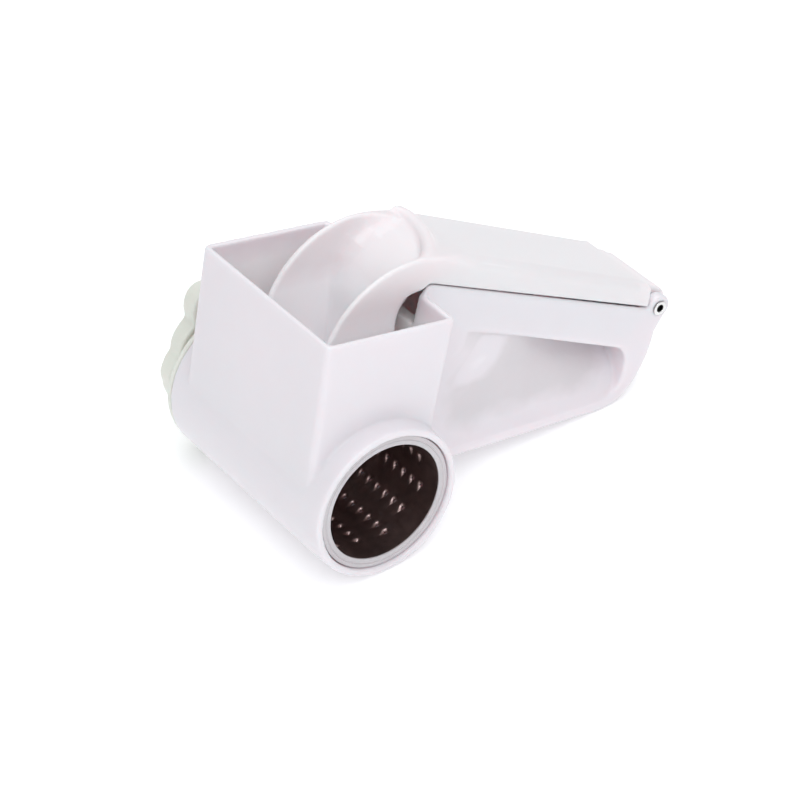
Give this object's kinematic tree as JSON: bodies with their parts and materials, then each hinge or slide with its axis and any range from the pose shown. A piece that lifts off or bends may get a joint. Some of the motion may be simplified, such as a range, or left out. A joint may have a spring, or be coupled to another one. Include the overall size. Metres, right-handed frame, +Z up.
{
  "type": "rotary cheese grater",
  "caption": "Hand-held rotary grater: white moulded hopper, drum barrel and handle, hinged press lever, perforated steel drum and a hand crank on the far end",
  "frame": {"origin": "on the surface it rests on, under the middle of the object's box", "axes": "+X from the hopper to the hinge end of the handle, +Y along the drum axis from the open mouth to the crank, +Z up"},
  "size_m": [0.1768, 0.1226, 0.1024],
  "materials": {
    "white_plastic": "glossy moulded white ABS",
    "lever_plastic": "glossy moulded white ABS",
    "crank_plastic": "off-white moulded polypropylene",
    "collar_plastic": "natural greyish plastic, slightly translucent",
    "bush_plastic": "natural acetal",
    "drum_steel": "punched stainless sheet",
    "pin_steel": "bright plated steel",
    "shaft_steel": "machined stainless"
  },
  "bodies": {
    "body": {"main_body": "white_plastic", "hinge_pin": "pin_steel", "rear_bush": "bush_plastic"},
    "lever": {"press_lever": "lever_plastic"},
    "drum": {"drum_shell": "drum_steel", "drum_collar": "collar_plastic", "drum_rear_disc": "collar_plastic", "drum_nut": "crank_plastic", "drive_shaft": "shaft_steel", "crank_arm": "crank_plastic", "crank_screw": "pin_steel", "knob_pin": "shaft_steel"},
    "knob": {"crank_knob": "crank_plastic", "knob_cap": "crank_plastic"}
  },
  "joints": [
    {"name": "lever_hinge", "type": "hinge", "parent": "body", "child": "lever", "pos_m": [0.08224, -0.01625, 0.03481], "axis": [0, 1, 0], "range_deg": [0, 120]},
    {"name": "drum_spin", "type": "hinge", "parent": "body", "child": "drum", "pos_m": [-0.05884, -0.01425, 0.02962], "axis": [0, 1, 0], "continuous": true},
    {"name": "knob_spin", "type": "hinge", "parent": "drum", "child": "knob", "pos_m": [-0.04833, 0.05325, 0.05175], "axis": [0, 1, 0], "continuous": true}
  ]
}
